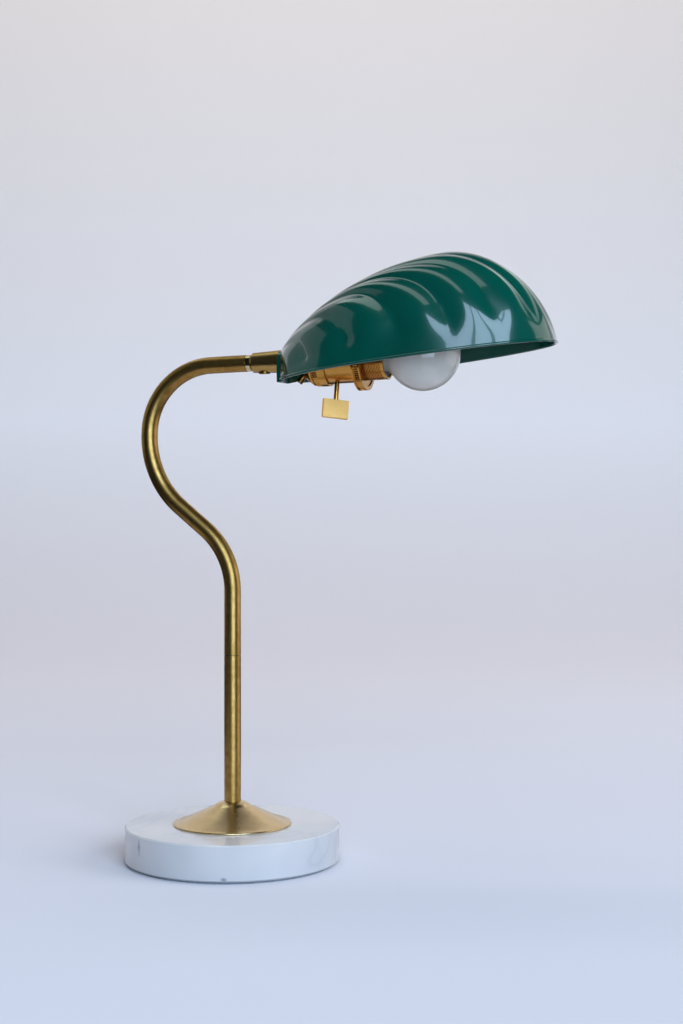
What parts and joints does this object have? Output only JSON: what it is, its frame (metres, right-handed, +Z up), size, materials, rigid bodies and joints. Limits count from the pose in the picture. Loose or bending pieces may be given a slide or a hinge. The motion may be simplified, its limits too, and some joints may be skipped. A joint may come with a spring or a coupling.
{
  "type": "desk lamp",
  "caption": "Desk lamp with a round marble base, a brass goose-neck arm that swings on its stem, a turning fluted green shell shade and a keyed screw socket with a globe bulb.",
  "frame": {"origin": "centre of the base's underside, on the table", "axes": "+Z up along the stem, +X from the stem towards the tip of the shade, +Y to the left of the shade's tip"},
  "size_m": [0.3278, 0.162, 0.4521],
  "materials": {
    "marble": "polished white marble with faint grey veins",
    "felt": "pressed wool felt",
    "satin_brass": "spun and satin lacquered",
    "aged_brass": "aged olive brown patina over polished tube",
    "neck_brass": "turned, lightly tarnished",
    "sleeve_brass": "turned, tarnished",
    "dark_brass": "darkened screw heads",
    "raw_brass": "machined, hidden",
    "socket_brass": "drawn shell, warm lacquer",
    "key_brass": "flat ground faces",
    "green_enamel": "glossy deep green enamel on steel",
    "zinc_steel": "zinc plated",
    "dark_plastic": "moulded, matt",
    "white_plastic": "moulded, matt",
    "rotor_plastic": "moulded, matt",
    "cord_jacket": "smooth cord jacket",
    "wire_plastic": "thin wire insulation",
    "fibre_paper": "vulcanised fibre",
    "grey_ceramic": "glazed lamp holder",
    "opal_glass": "opal white globe",
    "clear_glass": "clear glass stem",
    "bulb_metal": "pressed screw cap",
    "bulb_black": "black glass insulator",
    "bulb_solder": "solder contact",
    "filament_metal": "fine wire"
  },
  "bodies": {
    "base": {"felt_pad": "felt", "marble_base": "marble", "cord_bushing": "dark_plastic", "base_washer": "zinc_steel", "lock_washer": "zinc_steel", "base_nut": "raw_brass", "threaded_rod": "zinc_steel", "base_cone": "satin_brass", "stem_tube": "aged_brass", "swivel_spigot": "raw_brass", "swivel_washer": "dark_plastic", "swivel_spring": "zinc_steel", "swivel_clip": "zinc_steel", "terminal_block": "white_plastic", "base_harness": "cord_jacket"},
    "arm": {"arm_tube": "aged_brass", "arm_bushing": "raw_brass", "neck_spigot": "neck_brass", "neck_washer": "dark_plastic", "arm_harness": "cord_jacket"},
    "head": {"shade_sleeve": "sleeve_brass", "sleeve_screw": "dark_brass", "head_nipple": "zinc_steel", "shade": "green_enamel", "shade_washer": "raw_brass", "shade_nut": "raw_brass", "socket_cap": "socket_brass", "cap_screw": "dark_brass", "knurled_collar": "socket_brass", "socket_shell": "socket_brass", "shell_liner": "fibre_paper", "switch_body": "dark_plastic", "terminal_screws": "raw_brass", "lead_wires": "wire_plastic", "lamp_insulator": "grey_ceramic", "screw_shell": "raw_brass", "centre_contact": "raw_brass", "thread_tube": "socket_brass", "shade_ring": "socket_brass", "bulb_glass": "opal_glass", "bulb_cap": "bulb_metal", "bulb_insulator": "bulb_black", "bulb_tip": "bulb_solder", "bulb_stem": "clear_glass", "filament": "filament_metal", "head_harness": "cord_jacket"},
    "key": {"key_shaft": "socket_brass", "key_plate": "key_brass", "switch_rotor": "rotor_plastic"}
  },
  "joints": [
    {"name": "arm_swing", "type": "hinge", "parent": "base", "child": "arm", "pos_m": [0, 0, 0.156], "axis": [0, 0, 1], "range_deg": [-170, 170]},
    {"name": "head_roll", "type": "hinge", "parent": "arm", "child": "head", "pos_m": [0.01155, 0, 0.37639], "axis": [0.9997, 0, 0.0262], "range_deg": [-100, 100]},
    {"name": "key_turn", "type": "hinge", "parent": "head", "child": "key", "pos_m": [0.08413, 0, 0.3783], "axis": [-0.0403, -0.1095, -0.9932], "continuous": true}
  ]
}
